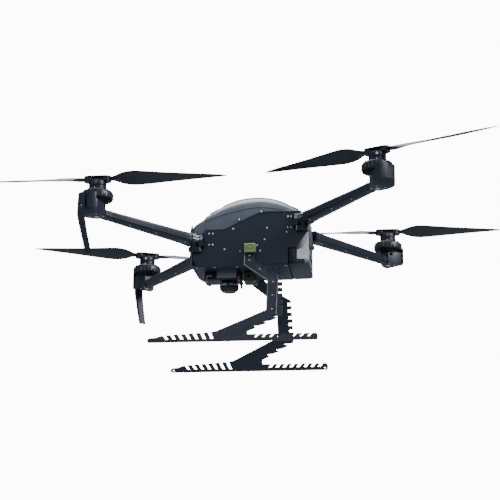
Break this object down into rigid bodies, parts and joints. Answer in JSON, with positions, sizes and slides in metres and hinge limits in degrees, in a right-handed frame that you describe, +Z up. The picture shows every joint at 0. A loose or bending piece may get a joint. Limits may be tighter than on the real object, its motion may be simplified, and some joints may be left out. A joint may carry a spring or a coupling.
{
  "type": "quadcopter drone",
  "caption": "Folding quadcopter with raised rear arms, folding propellers, a slide-out battery and leaning plate landing legs.",
  "frame": {"origin": "on the lower face of the payload dock, on the drone's centre plane, midway between the four motors", "axes": "+Z up, the nose points to -Y, and +X is the drone's left side"},
  "size_m": [0.8915, 1.2679, 0.4209],
  "materials": {
    "dark_plastic": "satin glass-filled nylon",
    "carbon": "woven carbon fibre plate with satin resin",
    "hood_grey": "semi-gloss moulded shell",
    "tail_grey": "satin moulded plastic",
    "anodised_green": "satin yellow-green anodising",
    "steel": "brushed",
    "dark_metal": "satin black anodising",
    "copper": "enamelled windings",
    "board_green": "circuit board with a plain case",
    "olive": "dark olive satin coat",
    "blade": "carbon-filled satin moulding",
    "antenna": "satin moulded plastic"
  },
  "bodies": {
    "airframe": {"side_plate_left": "carbon", "side_plate_right": "carbon", "belly_tray": "dark_plastic", "nose_cover": "dark_plastic", "hood": "hood_grey", "mid_deck": "carbon", "flight_controller": "board_green", "gear_socket_left": "anodised_green", "gear_socket_right": "anodised_green", "payload_dock": "olive", "damper_bracket": "dark_plastic", "payload_port": "dark_metal", "arm_bracket_front_left": "dark_plastic", "arm_hinge_pin_front_left": "anodised_green", "arm_bracket_front_right": "dark_plastic", "arm_hinge_pin_front_right": "anodised_green", "arm_bracket_rear_left": "dark_plastic", "arm_hinge_pin_rear_left": "anodised_green", "arm_bracket_rear_right": "dark_plastic", "arm_hinge_pin_rear_right": "anodised_green"},
    "battery": {"battery_pack": "tail_grey"},
    "battery_latch_left": {"battery_latch_left": "dark_plastic"},
    "battery_latch_right": {"battery_latch_right": "dark_plastic"},
    "landing_leg_left": {"gear_leg_left": "carbon"},
    "landing_leg_right": {"gear_leg_right": "carbon"},
    "lock_ring": {"port_lock_ring": "steel"},
    "arm_release_front_left": {"arm_latch_front_left": "steel"},
    "arm_front_left": {"arm_beam_front_left": "dark_plastic", "motor_mount_front_left": "dark_plastic", "motor_stator_front_left": "copper", "antenna_leg_front_left": "antenna"},
    "rotor_front_left": {"motor_bell_front_left": "dark_metal", "prop_hub_front_left": "dark_plastic"},
    "blade_a_front_left": {"prop_blade_a_front_left": "blade"},
    "blade_b_front_left": {"prop_blade_b_front_left": "blade"},
    "arm_release_front_right": {"arm_latch_front_right": "steel"},
    "arm_front_right": {"arm_beam_front_right": "dark_plastic", "motor_mount_front_right": "dark_plastic", "motor_stator_front_right": "copper", "antenna_leg_front_right": "antenna"},
    "rotor_front_right": {"motor_bell_front_right": "dark_metal", "prop_hub_front_right": "dark_plastic"},
    "blade_a_front_right": {"prop_blade_a_front_right": "blade"},
    "blade_b_front_right": {"prop_blade_b_front_right": "blade"},
    "arm_release_rear_left": {"arm_latch_rear_left": "steel"},
    "arm_rear_left": {"arm_beam_rear_left": "dark_plastic", "motor_mount_rear_left": "dark_plastic", "motor_stator_rear_left": "copper"},
    "rotor_rear_left": {"motor_bell_rear_left": "dark_metal", "prop_hub_rear_left": "dark_plastic"},
    "blade_a_rear_left": {"prop_blade_a_rear_left": "blade"},
    "blade_b_rear_left": {"prop_blade_b_rear_left": "blade"},
    "arm_release_rear_right": {"arm_latch_rear_right": "steel"},
    "arm_rear_right": {"arm_beam_rear_right": "dark_plastic", "motor_mount_rear_right": "dark_plastic", "motor_stator_rear_right": "copper"},
    "rotor_rear_right": {"motor_bell_rear_right": "dark_metal", "prop_hub_rear_right": "dark_plastic"},
    "blade_a_rear_right": {"prop_blade_a_rear_right": "blade"},
    "blade_b_rear_right": {"prop_blade_b_rear_right": "blade"}
  },
  "joints": [
    {"name": "battery_slide", "type": "slide", "parent": "airframe", "child": "battery", "axis": [0, 1, 0], "range_m": [0, 0.18]},
    {"name": "battery_latch_press_left", "type": "slide", "parent": "battery", "child": "battery_latch_left", "axis": [-1, 0, 0], "range_m": [0, 0.003], "stiffness_N_per_m": 600},
    {"name": "battery_latch_press_right", "type": "slide", "parent": "battery", "child": "battery_latch_right", "axis": [1, 0, 0], "range_m": [0, 0.003], "stiffness_N_per_m": 600},
    {"name": "leg_release_left", "type": "slide", "parent": "airframe", "child": "landing_leg_left", "axis": [0.3381, 0, -0.9411], "range_m": [0, 0.04]},
    {"name": "leg_release_right", "type": "slide", "parent": "airframe", "child": "landing_leg_right", "axis": [-0.3381, 0, -0.9411], "range_m": [0, 0.04]},
    {"name": "lock_ring_twist", "type": "hinge", "parent": "airframe", "child": "lock_ring", "pos_m": [0, -0.058, -0.006], "axis": [0, 0, -1], "range_deg": [0, 45]},
    {"name": "arm_release_front_left", "type": "slide", "parent": "airframe", "child": "arm_release_front_left", "axis": [-1, 0, 0], "range_m": [0, 0.003], "stiffness_N_per_m": 600},
    {"name": "arm_fold_front_left", "type": "hinge", "parent": "airframe", "child": "arm_front_left", "pos_m": [0.088, -0.135, 0.066], "axis": [0, 1, 0], "range_deg": [0, 85]},
    {"name": "rotor_spin_front_left", "type": "hinge", "parent": "arm_front_left", "child": "rotor_front_left", "pos_m": [0.329, -0.329, 0.1675], "axis": [0, 0, 1], "continuous": true},
    {"name": "blade_fold_a_front_left", "type": "hinge", "parent": "rotor_front_left", "child": "blade_a_front_left", "pos_m": [0.329, -0.309, 0.174], "axis": [0, 0, 1], "range_deg": [0, 82]},
    {"name": "blade_fold_b_front_left", "type": "hinge", "parent": "rotor_front_left", "child": "blade_b_front_left", "pos_m": [0.329, -0.349, 0.174], "axis": [0, 0, -1], "range_deg": [0, 82]},
    {"name": "arm_release_front_right", "type": "slide", "parent": "airframe", "child": "arm_release_front_right", "axis": [1, 0, 0], "range_m": [0, 0.003], "stiffness_N_per_m": 600},
    {"name": "arm_fold_front_right", "type": "hinge", "parent": "airframe", "child": "arm_front_right", "pos_m": [-0.088, -0.135, 0.066], "axis": [0, -1, 0], "range_deg": [0, 85]},
    {"name": "rotor_spin_front_right", "type": "hinge", "parent": "arm_front_right", "child": "rotor_front_right", "pos_m": [-0.329, -0.329, 0.1675], "axis": [0, 0, 1], "continuous": true},
    {"name": "blade_fold_a_front_right", "type": "hinge", "parent": "rotor_front_right", "child": "blade_a_front_right", "pos_m": [-0.32249, -0.34791, 0.174], "axis": [0, 0, 1], "range_deg": [0, 82]},
    {"name": "blade_fold_b_front_right", "type": "hinge", "parent": "rotor_front_right", "child": "blade_b_front_right", "pos_m": [-0.33551, -0.31009, 0.174], "axis": [0, 0, -1], "range_deg": [0, 82]},
    {"name": "arm_release_rear_left", "type": "slide", "parent": "airframe", "child": "arm_release_rear_left", "axis": [-1, 0, 0], "range_m": [0, 0.003], "stiffness_N_per_m": 600},
    {"name": "arm_fold_rear_left", "type": "hinge", "parent": "airframe", "child": "arm_rear_left", "pos_m": [0.088, 0.135, 0.114], "axis": [0, 1, 0], "range_deg": [0, 85]},
    {"name": "rotor_spin_rear_left", "type": "hinge", "parent": "arm_rear_left", "child": "rotor_rear_left", "pos_m": [0.329, 0.329, 0.2155], "axis": [0, 0, 1], "continuous": true},
    {"name": "blade_fold_a_rear_left", "type": "hinge", "parent": "rotor_rear_left", "child": "blade_a_rear_left", "pos_m": [0.32055, 0.31087, 0.222], "axis": [0, 0, 1], "range_deg": [0, 82]},
    {"name": "blade_fold_b_rear_left", "type": "hinge", "parent": "rotor_rear_left", "child": "blade_b_rear_left", "pos_m": [0.33745, 0.34713, 0.222], "axis": [0, 0, -1], "range_deg": [0, 82]},
    {"name": "arm_release_rear_right", "type": "slide", "parent": "airframe", "child": "arm_release_rear_right", "axis": [1, 0, 0], "range_m": [0, 0.003], "stiffness_N_per_m": 600},
    {"name": "arm_fold_rear_right", "type": "hinge", "parent": "airframe", "child": "arm_rear_right", "pos_m": [-0.088, 0.135, 0.114], "axis": [0, -1, 0], "range_deg": [0, 85]},
    {"name": "rotor_spin_rear_right", "type": "hinge", "parent": "arm_rear_right", "child": "rotor_rear_right", "pos_m": [-0.329, 0.329, 0.2155], "axis": [0, 0, 1], "continuous": true},
    {"name": "blade_fold_a_rear_right", "type": "hinge", "parent": "rotor_rear_right", "child": "blade_a_rear_right", "pos_m": [-0.32935, 0.349, 0.222], "axis": [0, 0, 1], "range_deg": [0, 82]},
    {"name": "blade_fold_b_rear_right", "type": "hinge", "parent": "rotor_rear_right", "child": "blade_b_rear_right", "pos_m": [-0.32865, 0.309, 0.222], "axis": [0, 0, -1], "range_deg": [0, 82]}
  ]
}
